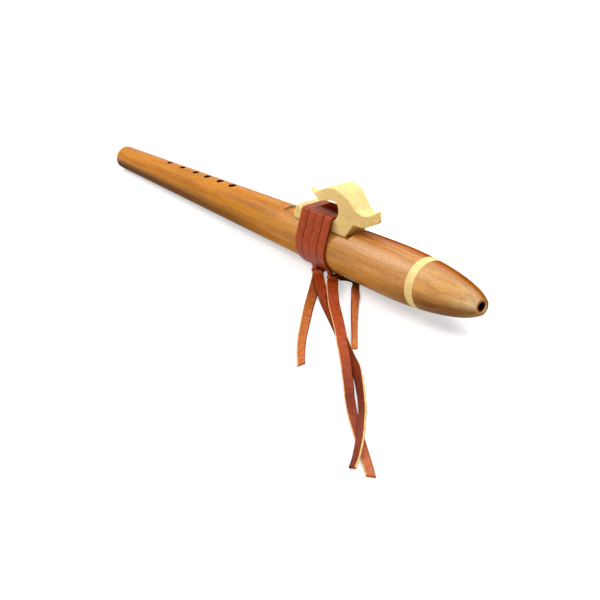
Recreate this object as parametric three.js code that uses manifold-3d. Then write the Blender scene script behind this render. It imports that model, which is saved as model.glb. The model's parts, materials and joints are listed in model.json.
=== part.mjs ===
// Native American style flute: a turned wooden flute of two chambers with a carved block under flat laces.
// Millimetres, +Z up. The flute lies on a table along +X, mouth end at +X, finger holes up.
// The origin lies on the table, under the middle of the flute without its loose lace tails, which lie
// toward -Y.
import * as THREE from "three";
import { mergeVertices } from "three/addons/utils/BufferGeometryUtils.js";
import Module from "manifold-3d";

const wasm = await Module();
wasm.setup();

// Turned outside. Stations are measured along the flute's own axis from the foot end
const footRadius = 11.1;
const bellyRadius = 20.2;
const noseLength = 85;
const tipRadius = 5.9;
const footEdge = 1;
const taperPower = 16;
const nosePower = 1.85;
const noseRoundness = 0.47;
const bodyRings = 26;
const noseRings = 10;
const turnedSides = 48;
const boreSides = 32;

// Chambers
const boreRadius = 8;
const soundChamberLength = 301.5;
const wallBetweenChambers = 36.5;
const airChamberLength = 140;
const blowNeckLength = 22;
const blowHoleRadius = 3.3;
const blowHoleEdge = 0.7;

// Ring between body and mouthpiece, and the tenon through it
const mouthpieceLength = 49.7;
const ringWidth = 7.2;
const tenonRadius = 12;
const tenonDepth = 18;

// Flat nest under the block, and the air's way through it
const nestBeforeSoundHole = 17.5;
const nestLength = 88.6;
const nestHeight = 16;
const airwayWidth = 8;
const flueDepth = 1.2;
const soundHoleLength = 6;
const airHoleLength = 6;
const airHoleSetback = 2;

// Finger holes, drilled square to the axis
const largestFingerHole = 7.1;
const fingerHoleSides = 20;
const fingerHoleStationShares = [0.1816, 0.2286, 0.276, 0.3156, 0.358, 0.397];
const fingerHoleSizeShares = [0.74, 0.79, 0.84, 0.89, 0.95, 1];

// Block, measured from its own foot-side end and from the nest
const blockBehindSoundHole = 1.3;
const blockWidth = 20;
const blockHeight = 36;
const bedHeight = 10.5;
const lipHeight = 12.2;
const blockFaceHeight = 5;
const curveSteps = 3;

// Outline of the block as shares of its length and height
const lipStartShare = 0.06;
const bedStartShare = 0.122;
const bedEndShare = 0.548;
const heelShare = 0.666;
const footShare = 0.62;
const hookShares = [
  [0.585, 0.4], [0.601, 0.48], [0.602, 0.56], [0.598, 0.64], [0.572, 0.694], [0.53, 0.708], [0.485, 0.694],
  [0.399, 0.625], [0.331, 0.569], [0.247, 0.6], [0.169, 0.65], [0.12, 0.758],
];
const crestShares = [
  [0.159, 0.686], [0.201, 0.672], [0.253, 0.697], [0.305, 0.761], [0.368, 0.844], [0.441, 0.933],
  [0.514, 0.988], [0.587, 1], [0.655, 0.942], [0.707, 0.85], [0.754, 0.733], [0.796, 0.631], [0.848, 0.58],
  [0.901, 0.588], [0.948, 0.644], [0.99, 0.719],
];
const tailFinShares = [[1, 0.55], [0.969, 0.447], [0.901, 0.35], [0.828, 0.3], [0.749, 0.306]];
// Half width of the carved upper part, as shares of the block's length and half width
const planShares = [
  [0.118, 0], [0.15, 0.18], [0.235, 0.45], [0.34, 0.8], [0.42, 0.96], [0.5, 1], [0.6, 1], [0.65, 0.97],
  [0.75, 0.78], [0.86, 0.65], [0.925, 0.45], [0.985, 0.12], [1, 0],
];

// Flat laces: two, each wound twice round body and block
const laceWidth = 8.8;
const laceThickness = 1.6;
const bandGap = 0.8;
const bedLead = 1.82;
const bedSpare = 0.55;
const bellyLean = 2.8;
const crossingLift = 2.5;
const laceNames = ["foot_lace", "mouth_lace"];
const turnSteps = 20;
const restCut = 0.5;
// The lean runs between these heights, and the crossing between these parts of the back
const leanHeightShares = [-0.15, -0.9];
const crossingShares = [0.2, 0.9];
// Sections of a lace as shares of its half width and half thickness
const windingSectionShares = [[-1, 0], [-0.9, -1], [0.9, -1], [1, 0], [0.9, 1], [-0.9, 1]];
const tailSectionShares = [
  [-1, 0.4], [-1, -0.4], [-0.92, -1], [0.92, -1], [1, -0.4], [1, 0.4], [0.92, 1], [-0.92, 1],
];

// Knots between belly and table
const knotWidth = 8;
const knotDepth = 4.8;
const knotHeight = 4.2;
const knotBackReach = 12.8;
const knotEdge = 1;
const knotLeadIn = 2.2;

// Loose lace tails, tapered, lying on the table. A route's points are [x, y, height of the lowest edge,
// roll], where a positive roll, in degrees, lifts the edge on the mouth side
const tailTipWidth = 5.4;
// The one tail that starts narrower than the rest
const tailStartWidths = { mouth_lace_short_tail: 6.9 };
const tailRoutes = {
  foot_lace_short_tail: [
    [88.4, -17.6, 0, 0], [89.8, -17.8, 0, 0], [91.2, -18.5, 0, 0], [92.8, -19.9, 0, 0],
    [95.6, -22.9, 0, 0], [99.8, -27, 0, 0], [106.2, -33.3, 0, 0], [113, -39.9, 0, 0],
    [120.1, -46.9, 0, 0], [127.1, -53.8, 0, 0], [136, -62.3, 0, 0], [145.5, -71, 0, -2],
    [155.5, -80.1, 0, -5], [165.2, -88.9, 0, -8], [175.5, -97.6, 0, -10], [186.5, -106.2, 0, -10],
    [197.5, -114.2, 0, -8],
  ],
  foot_lace_long_tail: [
    [87.9, -18.9, 2, 0], [89.8, -19.1, 2, 0], [91.7, -19.8, 2, 0], [93.9, -21, 2, 0], [98, -23.5, 2, 0],
    [105.1, -28, 2, 0], [112.6, -32.6, 2, 0], [118.5, -36.2, 2, 0], [123.5, -39, 2, 0],
    [128.5, -41.7, 1.3, 0], [134, -44.6, 0.4, 0], [140.5, -47.8, 0, 0], [149, -52, 0, 0],
    [160.5, -57.6, 0, 0], [172, -63.4, 0, 0], [183.5, -69.2, 0, 0], [194.5, -75, 0, 0],
    [204, -79.9, 0, 0], [213.5, -84.6, 0, 2], [225.5, -90.8, 0, 12], [239, -99.3, 0, 34],
    [252.5, -108.5, 0, 41], [266.2, -118.7, 0.7, 42], [273.5, -124.6, 1.9, 40], [281, -131.4, 2.2, 36],
    [289.5, -139, 2.1, 32], [298, -147.5, 1.1, 30], [306, -156.2, 0.2, 28], [312, -163.6, 0, 28],
  ],
  mouth_lace_long_tail: [
    [107.6, -18.4, 2, 0], [109, -18.6, 2.4, 0], [110.3, -19.3, 2.8, 0], [112.9, -21.3, 3.5, 0],
    [117, -24.6, 4.1, 0], [122.6, -29, 4.2, 0], [127.5, -32.8, 4.2, 0], [133, -36.8, 3.8, 0],
    [138.7, -40.9, 2.9, 0], [144, -44.5, 2.2, 0], [149.5, -48, 1.9, 0], [160, -54.5, 1.9, 0],
    [171.5, -61.8, 1.9, 0], [183, -69.3, 1.9, 0], [195, -77.5, 1.9, 0], [207, -85.5, 2, 0],
    [219, -93.7, 2.2, 0], [230.5, -101.9, 2.2, 0], [241.5, -109.6, 1.4, 0], [253, -117.9, 0.3, 0],
    [266, -126.5, 0, 0], [279, -134.4, 0, 0], [292, -141.9, 0, 0], [308, -151, 0, 0],
    [323.7, -160.2, 0, 0],
  ],
  mouth_lace_short_tail: [
    [108.2, -11.4, 0, 0], [111, -10.9, 0, 0], [114.5, -10.4, 0, 0], [118.5, -10.1, 0, 0],
    [122.2, -10.3, 0, -3], [125.8, -11.4, 0, -9], [129.6, -13.6, 0, -17], [134.9, -17.2, 0, -25],
    [143.2, -23.6, 0, -32], [152.4, -31.4, 0, -38], [163.7, -40.7, 0, -40], [174.7, -49.5, 0, -40],
    [185.2, -57.7, 0, -36], [194, -64.6, 0, -26], [200, -69.4, 0, -16], [203.4, -72, 0, -10],
  ],
};

// Fits
const clearance = 0.3;
const overrun = 5;

const wood = { color: 0xc07a3a, roughness: 0.5, metalness: 0 };
const paleWood = { color: 0xe8c98c, roughness: 0.55, metalness: 0 };
const leather = { color: 0x8e4426, roughness: 0.6, metalness: 0 };

const airChamberStation = soundChamberLength + wallBetweenChambers;
const neckStation = airChamberStation + airChamberLength;
const fluteLength = neckStation + blowNeckLength;
const bellyStation = fluteLength - noseLength;
const ringEnd = fluteLength - mouthpieceLength;
const ringStation = ringEnd - ringWidth;
const nestStation = soundChamberLength - nestBeforeSoundHole;
const strapReach = clearance + laceThickness / 2;
const bedTop = nestHeight + clearance + bedHeight;
// The block's bed takes both laces' bands side by side, and the block's length follows from it
const bandPitch = laceWidth + bandGap;
const bedLength = bedLead + 2 * laceNames.length * bandPitch + bedSpare;
const blockStation = soundChamberLength + blockBehindSoundHole;
const blockLength = bedLength / (bedEndShare - bedStartShare);
const firstBandStation = blockStation + bedStartShare * blockLength + bedLead + bandPitch / 2;

function radiusAt(station) {
  if (station <= bellyStation) {
    const along = station / bellyStation;
    const swell = (taperPower * along - along ** taperPower) / (taperPower - 1);
    return footRadius + (bellyRadius - footRadius) * swell;
  }
  const along = (station - bellyStation) / (fluteLength - bellyStation);
  const fall = 1 - (tipRadius / bellyRadius) ** (1 / noseRoundness);
  return bellyRadius * (1 - fall * along ** nosePower) ** noseRoundness;
}

// Solids

function toSolid(geometry) {
  const bare = geometry.clone();
  bare.deleteAttribute("normal");
  bare.deleteAttribute("uv");
  const merged = mergeVertices(bare);
  const index = merged.index.array;
  const triangles = [];
  for (let i = 0; i < index.length; i += 3) {
    const [a, b, c] = index.slice(i, i + 3);
    if (a !== b && b !== c && c !== a) triangles.push(a, b, c);
  }
  const vertProperties = new Float32Array(merged.attributes.position.array);
  const triVerts = new Uint32Array(triangles);
  return new wasm.Manifold(new wasm.Mesh({ numProp: 3, vertProperties, triVerts }));
}

function toGeometry(solid) {
  const mesh = solid.getMesh();
  const geometry = new THREE.BufferGeometry();
  geometry.setAttribute("position", new THREE.BufferAttribute(new Float32Array(mesh.vertProperties), 3));
  geometry.setIndex(new THREE.BufferAttribute(new Uint32Array(mesh.triVerts), 1));
  geometry.computeVertexNormals();
  return geometry;
}

function piece(name, solid, looks) {
  const mesh = new THREE.Mesh(toGeometry(solid), new THREE.MeshStandardMaterial(looks));
  mesh.name = name;
  return mesh;
}

// A turned solid about the flute's axis, from points of [station, radius]
function turned(points, sides) {
  const profile = points.map(([station, radius]) => new THREE.Vector2(radius, station));
  return toSolid(new THREE.LatheGeometry(profile, sides).rotateZ(-Math.PI / 2));
}

function bore(from, to, radius) {
  const geometry = new THREE.CylinderGeometry(radius, radius, to - from, boreSides);
  return toSolid(geometry.rotateZ(Math.PI / 2).translate((from + to) / 2, 0, 0));
}

// A straight cut between two stations, of one width, from a height up
function slot(from, to, width, low, high) {
  const geometry = new THREE.BoxGeometry(to - from, width, high - low);
  return toSolid(geometry.translate((from + to) / 2, 0, (low + high) / 2));
}

function outline(from, to, rings) {
  const points = [];
  for (let i = 0; i <= rings; i++) {
    const station = from + ((to - from) * i) / rings;
    points.push([station, radiusAt(station)]);
  }
  return points;
}

function fingerHoles() {
  return fingerHoleStationShares.map((share, i) => {
    const radius = (largestFingerHole * fingerHoleSizeShares[i]) / 2;
    const height = bellyRadius + overrun;
    const hole = new THREE.CylinderGeometry(radius, radius, height, fingerHoleSides);
    return toSolid(hole.rotateX(Math.PI / 2).translate(share * fluteLength, 0, height / 2));
  });
}

function buildBody() {
  const end = ringStation - clearance / 2;
  const profile = [[0, 0], [0, footRadius - footEdge], ...outline(footEdge, end, bodyRings), [end, 0]];
  const top = bellyRadius + overrun;
  const airHoleStart = airChamberStation + airHoleSetback;
  const cuts = [
    bore(-overrun, soundChamberLength, boreRadius),
    bore(airChamberStation, end + overrun, boreRadius),
    bore(ringStation - tenonDepth - clearance, end + overrun, tenonRadius + clearance),
    slot(nestStation, nestStation + nestLength, 2 * top, nestHeight, top),
    slot(soundChamberLength - soundHoleLength, soundChamberLength, airwayWidth, 0, top),
    slot(soundChamberLength, airHoleStart + airHoleLength, airwayWidth, nestHeight - flueDepth, top),
    slot(airHoleStart, airHoleStart + airHoleLength, airwayWidth, 0, top),
    ...fingerHoles(),
  ];
  return cuts.reduce((solid, cut) => solid.subtract(cut), turned(profile, turnedSides));
}

function buildRing() {
  const from = ringStation + clearance / 2;
  const to = ringEnd - clearance / 2;
  const inner = tenonRadius + clearance;
  const profile = [[from, inner], [from, radiusAt(from)], [to, radiusAt(to)], [to, inner], [from, inner]];
  return turned(profile, turnedSides);
}

function buildMouthpiece() {
  const shoulder = ringEnd + clearance / 2;
  const tenonEnd = ringStation - tenonDepth;
  const profile = [
    [tenonEnd, boreRadius], [tenonEnd, tenonRadius], [shoulder, tenonRadius],
    ...outline(shoulder, fluteLength, noseRings),
    [fluteLength, blowHoleRadius + blowHoleEdge], [fluteLength - blowHoleEdge, blowHoleRadius],
    [neckStation, blowHoleRadius], [neckStation, boreRadius], [tenonEnd, boreRadius],
  ];
  return turned(profile, turnedSides);
}

// Block

function smoothRun(points, steps) {
  const run = new THREE.CatmullRomCurve3(points.map(([x, y]) => new THREE.Vector3(x, y, 0)));
  return run.getPoints(steps * (points.length - 1)).map((point) => [point.x, point.y]);
}

function scaled(shares, width, height) {
  return shares.map(([x, y]) => [x * width, y * height]);
}

function extruded(points, depth) {
  const shape = new THREE.Shape(points.map(([x, y]) => new THREE.Vector2(x, y)));
  return new THREE.ExtrudeGeometry(shape, { depth, bevelEnabled: false });
}

function buildBlock() {
  const half = blockWidth / 2;
  const side = [
    [0, 0], [blockLength * heelShare, 0],
    ...smoothRun(scaled(tailFinShares, blockLength, blockHeight), curveSteps).reverse(),
    ...smoothRun(scaled(crestShares, blockLength, blockHeight), curveSteps).reverse(),
    ...smoothRun(scaled(hookShares, blockLength, blockHeight), curveSteps).reverse(),
    [blockLength * bedEndShare, bedHeight], [blockLength * bedStartShare, bedHeight],
    [blockLength * lipStartShare, lipHeight], [0, blockFaceHeight],
  ];
  const profile = extruded(side, blockWidth + 2 * overrun).rotateX(Math.PI / 2);
  profile.translate(0, half + overrun, 0);
  const front = smoothRun(scaled(planShares, blockLength, half), curveSteps);
  const back = front.slice(1, -1).reverse().map(([x, y]) => [x, -y]);
  const upper = extruded([...back, front[0], ...front.slice(1)].reverse(), blockHeight + 2 * overrun);
  const foot = slot(-overrun, blockLength * footShare, blockWidth, -overrun, lipHeight + overrun);
  const plan = toSolid(upper.translate(0, 0, -overrun)).add(foot);
  return toSolid(profile).intersect(plan).translate([blockStation, 0, nestHeight + clearance]);
}

// Laces

function smooth(share) {
  const t = Math.min(Math.max(share, 0), 1);
  return t * t * (3 - 2 * t);
}

// Direction out of the winding, turned from the top toward the front
function outward(angle) {
  return new THREE.Vector3(0, -Math.sin(angle), Math.cos(angle));
}

function bodyReach(station) {
  return radiusAt(station) + strapReach;
}

// Where a straight stretch from the block's edge meets the round body
function leaveAngle(station) {
  const corner = Math.hypot(blockWidth / 2, bedTop);
  return Math.atan2(blockWidth / 2, bedTop) + Math.acos(radiusAt(station) / corner);
}

function onBody(station, angle, lift = 0) {
  const normal = outward(angle);
  const point = normal.clone().multiplyScalar(bodyReach(station) + lift).setX(station);
  return { point, normal, width: laceWidth };
}

function onCorner(station, side, angle) {
  const normal = outward(side * angle);
  const point = normal.clone().multiplyScalar(strapReach);
  point.add(new THREE.Vector3(station, (-side * blockWidth) / 2, bedTop));
  return { point, normal, width: laceWidth };
}

// How far a band has leaned toward the mouth end at a height
function leanAt(height, station) {
  const [high, low] = leanHeightShares.map((share) => share * bodyReach(station));
  return bellyLean * smooth((high - height) / (high - low));
}

// From the belly up the back to the block's edge, from one band's place to another's
function upTheBack(from, to, lift) {
  const leave = leaveAngle(to);
  const arc = bodyReach(to) * (Math.PI - leave);
  const straight = Math.sqrt((blockWidth / 2) ** 2 + bedTop ** 2 - radiusAt(to) ** 2);
  const [start, end] = crossingShares;
  const steps = [];
  for (let i = 0; i <= turnSteps; i++) {
    const gone = (i / turnSteps) * (arc + straight);
    const share = i / turnSteps;
    const station = from + bellyLean + (to - from - bellyLean) * smooth((share - start) / (end - start));
    const raised = lift * smooth(share / start) * smooth((1 - share) / (1 - end));
    const angle = -Math.max(Math.PI - gone / bodyReach(to), leave);
    const step = onBody(station, angle, raised);
    const past = Math.max(gone - arc, 0);
    step.point.add(new THREE.Vector3(0, -Math.cos(angle), -Math.sin(angle)).multiplyScalar(past));
    steps.push(step);
  }
  return steps;
}

function overTheBed(station) {
  const leave = leaveAngle(station);
  return [
    onCorner(station, -1, leave), onCorner(station, -1, leave / 2), onCorner(station, -1, 0),
    onCorner(station, 1, 0), onCorner(station, 1, leave / 2), onCorner(station, 1, leave),
  ];
}

// Down the front from the block's edge to an angle on the body
function downTheFront(station, last) {
  const leave = leaveAngle(station);
  const count = Math.round((turnSteps * (last - leave)) / Math.PI);
  const steps = [];
  for (let i = 0; i <= count; i++) {
    const step = onBody(station, leave + ((last - leave) * i) / count);
    step.point.x += leanAt(step.point.z, station);
    steps.push(step);
  }
  return steps;
}

// Straight, square run of a lace's end between two points
function straightRun(from, to, normal, count) {
  const steps = [];
  for (let i = 0; i <= count; i++) {
    const point = from.clone().lerp(to, i / count);
    steps.push({ point, normal, width: laceWidth + (knotWidth - laceWidth) * smooth(i / count) });
  }
  return steps;
}

function knotPlace(lace) {
  const band = firstBandStation + 2 * lace * bandPitch + bandPitch;
  const station = band + bellyLean;
  const floor = tableHeight(station);
  const front = -knotBackReach - knotDepth;
  return { band, station, floor, top: floor + knotHeight, back: -knotBackReach, front };
}

// A lace: from its knot under the belly, twice round body and block, back to the knot's top
function windingSteps(lace) {
  const { band, station, top, back } = knotPlace(lace);
  const other = band - bandPitch;
  const under = new THREE.Vector3(station, back + clearance, -bodyReach(band));
  const belly = new THREE.Vector3(station, 0, -bodyReach(band));
  const middle = back - knotDepth / 2;
  const end = new THREE.Vector3(station, middle, top + clearance);
  const above = end.clone().setZ(end.z + knotLeadIn);
  const last = Math.atan2(-middle, above.z) - Math.acos(bodyReach(band) / Math.hypot(middle, above.z));
  const down = downTheFront(band, last);
  const toKnot = straightRun(down.at(-1).point, above, outward(last), 3);
  for (const step of toKnot) step.point.x = band + leanAt(step.point.z, band);
  end.setX(toKnot.at(-1).point.x);
  toKnot.push({ ...toKnot.at(-1), point: end, normal: outward(Math.PI / 2) });
  return [
    ...straightRun(belly, under, outward(Math.PI), 4).reverse().slice(0, -1),
    ...upTheBack(band, other, 0),
    ...overTheBed(other),
    ...downTheFront(other, Math.PI).slice(0, -1),
    ...upTheBack(other, band, crossingLift),
    ...overTheBed(band),
    ...down.slice(0, -1),
    ...toKnot,
  ];
}

// One closed flat strap through its steps: a point, a direction out of the wide face, a width, and at need
// the strap's own direction there
function strap(steps, thickness, sideShares) {
  const positions = [];
  steps.forEach(({ point, normal, width, along: way }, i) => {
    const before = steps[Math.max(i - 1, 0)].point;
    const after = steps[Math.min(i + 1, steps.length - 1)].point;
    const along = way ?? after.clone().sub(before).normalize();
    const across = new THREE.Vector3().crossVectors(along, normal).normalize();
    const up = new THREE.Vector3().crossVectors(across, along);
    for (const [side, rise] of sideShares) {
      const corner = point.clone().addScaledVector(across, (side * width) / 2);
      positions.push(...corner.addScaledVector(up, (rise * thickness) / 2));
    }
  });
  const sides = sideShares.length;
  const faces = [];
  for (let i = 0; i + 1 < steps.length; i++) {
    for (let j = 0; j < sides; j++) {
      const a = i * sides + j;
      const b = i * sides + ((j + 1) % sides);
      faces.push(a, a + sides, b, b, a + sides, b + sides);
    }
  }
  const end = (steps.length - 1) * sides;
  for (let j = 1; j + 1 < sides; j++) faces.push(0, j, j + 1, end, end + j + 1, end + j);
  const geometry = new THREE.BufferGeometry();
  geometry.setAttribute("position", new THREE.Float32BufferAttribute(positions, 3));
  geometry.setIndex(faces);
  return geometry;
}

function flatLength(points) {
  let length = 0;
  return points.map((point, i) => (length += i > 0 ? point.distanceTo(points[i - 1]) : 0));
}

// A loose tail: each point lies as high as its rolled width needs above the height given
function tailSteps(route, startWidth) {
  const flat = route.map(([x, y]) => new THREE.Vector3(x, y, 0));
  const lengths = flatLength(flat);
  return route.map(([x, y, lift, roll], i) => {
    const along = flat[Math.min(i + 1, flat.length - 1)].clone().sub(flat[Math.max(i - 1, 0)]).normalize();
    // The first section lies flat on its knot's face
    if (i === 0) along.round();
    const upright = new THREE.Vector3(0, 0, 1);
    const across = new THREE.Vector3().crossVectors(along, upright);
    const lean = THREE.MathUtils.degToRad(roll);
    const normal = upright.multiplyScalar(Math.cos(lean)).addScaledVector(across, Math.sin(lean));
    const width = startWidth + (tailTipWidth - startWidth) * (lengths[i] / lengths.at(-1));
    const height = lift + (width * Math.abs(Math.sin(lean)) + laceThickness * Math.cos(lean)) / 2;
    return { point: new THREE.Vector3(x, y, height), normal, width, along };
  });
}

// Least gap between stretches of one lace that aren't neighbours along it, on points of its two wide faces
function leastGap(steps) {
  const rows = [];
  let length = 0;
  for (let i = 0; i + 1 < steps.length; i++) {
    const [now, next] = [steps[i], steps[i + 1]];
    const along = next.point.clone().sub(now.point);
    const across = new THREE.Vector3().crossVectors(along, now.normal).normalize();
    const count = Math.ceil(along.length() / laceThickness);
    for (let k = 0; k < count; k++) {
      const middle = now.point.clone().addScaledVector(along, k / count);
      for (let side = -4; side <= 4; side++) {
        const point = middle.clone().addScaledVector(across, (side * laceWidth) / 8);
        for (const face of [-1, 1]) {
          rows.push({ length, point: point.clone().addScaledVector(now.normal, (face * laceThickness) / 2) });
        }
      }
      length += along.length() / count;
    }
  }
  let least = Infinity;
  for (const a of rows) {
    for (const b of rows) {
      if (b.length - a.length > 2 * laceWidth) least = Math.min(least, a.point.distanceTo(b.point));
    }
  }
  return least;
}

function buildKnot(lace) {
  const { station, floor, top, back, front } = knotPlace(lace);
  const low = floor - overrun;
  const points = [
    [back, low], [back, top - knotEdge], [back - knotEdge, top],
    [front + knotEdge, top], [front, top - knotEdge], [front, low],
  ];
  const shape = extruded(points, knotWidth - 2 * clearance).rotateX(Math.PI / 2).rotateZ(Math.PI / 2);
  return toSolid(shape.translate(station - knotWidth / 2 + clearance, 0, 0));
}

// Rest: the foot's lower edge and the laces' cut undersides touch the table

const restStation = firstBandStation - laceWidth / 2;
const restDrop = radiusAt(restStation) + clearance + laceThickness - restCut - footRadius;
const tilt = Math.atan(restDrop / (restStation - footEdge));

function tableHeight(station) {
  return -radiusAt(footEdge) - (station - footEdge) * Math.tan(tilt);
}

function cutAtTable(solid) {
  const size = 2 * fluteLength;
  const under = new THREE.BoxGeometry(size, size, size).translate(0, 0, -size / 2);
  under.rotateY(tilt).translate(footEdge, 0, -radiusAt(footEdge));
  return solid.subtract(toSolid(under));
}

const flute = new THREE.Group();
flute.add(
  piece("body", buildBody(), wood),
  piece("accent_ring", buildRing(), paleWood),
  piece("mouthpiece", buildMouthpiece(), wood),
  piece("block", buildBlock(), paleWood),
);
laceNames.forEach((name, lace) => {
  const steps = windingSteps(lace);
  console.log(name, "least gap to itself", leastGap(steps).toFixed(2), "mm");
  const winding = toSolid(strap(steps, laceThickness, windingSectionShares));
  flute.add(piece(name + "_wrap", cutAtTable(winding), leather));
  flute.add(piece(name + "_knot", cutAtTable(buildKnot(lace)), leather));
});
flute.rotation.y = -tilt;
flute.updateMatrixWorld(true);
const box = new THREE.Box3().setFromObject(flute, true);
flute.position.set(-(box.min.x + box.max.x) / 2, -(box.min.y + box.max.y) / 2, -box.min.z);
console.log("flute placed at", ...flute.position.toArray().map((value) => value.toFixed(3)), "tilt", tilt);

const part = new THREE.Group();
part.add(flute);
for (const [name, route] of Object.entries(tailRoutes)) {
  const steps = tailSteps(route, tailStartWidths[name] ?? laceWidth);
  console.log(name, "length", flatLength(steps.map((step) => step.point)).at(-1).toFixed(1), "mm");
  part.add(piece(name, toSolid(strap(steps, laceThickness, tailSectionShares)), leather));
}

export default part;
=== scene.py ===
# Native American style flute on a pale table: a turned two-chamber flute, with a carved block that
# leather laces tie on
import json
import math
from functools import partial

import bmesh
import bpy
from bpy.props import FloatProperty, FloatVectorProperty, PointerProperty
from bpy.types import Operator, Panel, PropertyGroup
from mathutils import Matrix, Vector, noise


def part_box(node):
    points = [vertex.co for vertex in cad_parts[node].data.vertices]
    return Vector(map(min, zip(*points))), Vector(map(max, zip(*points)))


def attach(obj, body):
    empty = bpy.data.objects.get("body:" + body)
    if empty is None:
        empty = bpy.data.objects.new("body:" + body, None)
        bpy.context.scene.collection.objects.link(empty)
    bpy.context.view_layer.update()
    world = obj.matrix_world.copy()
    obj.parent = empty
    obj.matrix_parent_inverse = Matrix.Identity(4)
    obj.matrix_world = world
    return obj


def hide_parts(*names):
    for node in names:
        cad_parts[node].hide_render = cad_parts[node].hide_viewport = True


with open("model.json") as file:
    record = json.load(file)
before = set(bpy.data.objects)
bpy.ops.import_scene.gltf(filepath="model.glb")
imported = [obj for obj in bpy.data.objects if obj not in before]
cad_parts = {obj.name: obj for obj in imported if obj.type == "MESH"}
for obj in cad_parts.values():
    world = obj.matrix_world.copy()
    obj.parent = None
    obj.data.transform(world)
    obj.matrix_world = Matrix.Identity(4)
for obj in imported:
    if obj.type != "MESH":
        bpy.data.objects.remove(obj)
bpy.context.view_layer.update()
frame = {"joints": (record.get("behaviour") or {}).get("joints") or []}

bl_info = {
    "name": "Wooden flute with laced block",
    "version": (1, 0, 0),
    "blender": (4, 5, 0),
    "location": "View3D > Sidebar > Flute",
    "description": "Builds a turned wooden flute with a carved block and leather laces",
    "category": "Object",
}

MM = 0.001
TINY = 1e-9


def linear(code):
    """sRGB hex colour as linear red, green and blue."""
    parts = [int(code[i:i + 2], 16) / 255 for i in (1, 3, 5)]
    return [p / 12.92 if p <= 0.04045 else ((p + 0.055) / 1.055) ** 2.4 for p in parts]


def colour(name, description, code):
    return FloatVectorProperty(
        name=name, description=description, subtype="COLOR", size=3, min=0, max=1, default=linear(code)
    )


def length(name, description, millimetres):
    return FloatProperty(
        name=name, description=description, unit="LENGTH", min=0, default=millimetres * MM, precision=5
    )


class FluteSizes(PropertyGroup):
    lace_width: length("Lace width", "Width of the wound laces", 9.3)
    lace_thickness: length("Lace thickness", "Thickness of the leather", 1.6)
    tail_width: length("Tail width", "Width of a loose lace end at its knot", 8.8)
    tip_width: length("Tip width", "Width of a loose lace end at its tip", 5.4)
    block_voxel: length("Block fineness", "Size of the block's mesh faces", 0.42)
    joint_line: length("Joint line", "Open line on each side of the accent ring", 0.05)


class FluteColours(PropertyGroup):
    teak_foot: colour("Teak, foot", "Turned wood at the foot end", "#C57D1A")
    teak_mouth: colour("Teak, mouth", "Turned wood at the mouth end", "#E0A456")
    teak_band: colour("Teak bands", "What the dark growth bands leave of the wood's tone", "#E2D2BE")
    # Painted shade on the side of belly and nose that faces away from the front
    teak_far_shade: colour("Teak, far side", "What the unfaded side leaves of the wood's tone", "#C2903E")
    teak_pore: colour("Teak pores", "Open pores of the turned wood", "#4A240C")
    maple_light: colour("Maple, light", "Light wood of block and ring", "#F8DC96")
    maple_dark: colour("Maple, dark", "Grain lines of block and ring", "#E8C274")
    # On the laces, the dark tones also serve as painted shade, and the worn tone as painted highlights
    leather_dark: colour("Leather, dark", "Grain side and edges where the dye lies thick", "#5E1C08")
    leather_grain: colour("Leather, grain side", "Smooth outer side of the laces", "#A63F0D")
    leather_worn_and_highlight: colour("Leather, worn", "Grain side where the dye has worn thin", "#D27A44")
    leather_flesh_dark: colour("Leather, flesh side, dark", "Raw inner side, dye soaked in", "#8A4420")
    leather_flesh: colour("Leather, flesh side", "Raw inner side of the laces", "#BC6A38")
    leather_flesh_light: colour("Leather, flesh side, light", "Raw inner side without dye", "#D8824C")
    leather_dyed_edge: colour("Leather, dyed edge", "Edges of the laces under the dye", "#7E2E0C")
    leather_edge: colour("Leather, cut edge", "Pale cut edges of the laces", "#F0C884")
    # Painted shade: grey for the nest's end walls
    nest_wall_shade: colour("End grain", "Sawn end walls of the nest", "#8A8070")
    # Painted shade: near-black inside the finger holes, bore and blow hole
    hole_shade: colour("Charred wood", "Walls of holes that were burned smooth", "#1C0E06")
    # Pale colour of the foot's upper rim, and the painted highlight on the mouth end
    pale_rim_and_tip_highlight: colour("Worn rim", "Foot end where the oil has worn off", "#E8C890")
    table: colour("Table", "Pale table top", "#CFCFCF")


# The photograph's camera in metres, with its focal length in the photograph's pixels
CAMERA_PLACE = (0.7083, -0.47425, 0.34902)
CAMERA_RIGHT = (0.59556, 0.80197, -0.04647)
CAMERA_UP = (-0.32371, 0.29254, 0.8998)
CAMERA_BACK = (0.7352, -0.52084, 0.43383)
FOCAL_PIXELS = 1087
PHOTO_PIXELS = 600
SENSOR_WIDTH = 36
CLIP_END = 50

# Area lamps: place and width in metres, and power in watts
LAMPS = {
    "key_light": ((-0.3, 0.7, 1.15), 1.3, 11),
    "window_light": ((-0.8, -0.45, 0.95), 0.6, 12),
    "mouth_light": ((0.95, 0.2, 1.0), 0.7, 10),
    "front_light": ((0.9, -1.3, 0.7), 1.2, 8),
}
WORLD_LIGHT = 0.22
TABLE_GLOW = 0.5
TABLE_HALF = 6
TABLE_DROP = 0.0001

# Fineness of turned pieces, and the angles over which their edges stay sharp
TURNED_SIDES = 160
HOLE_SIDES = 40
ROUNDING_STEPS = 5
LIP_STEPS = 9
SHARP_DEGREES = 32
ROUNDED_DEGREES = 50

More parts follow.
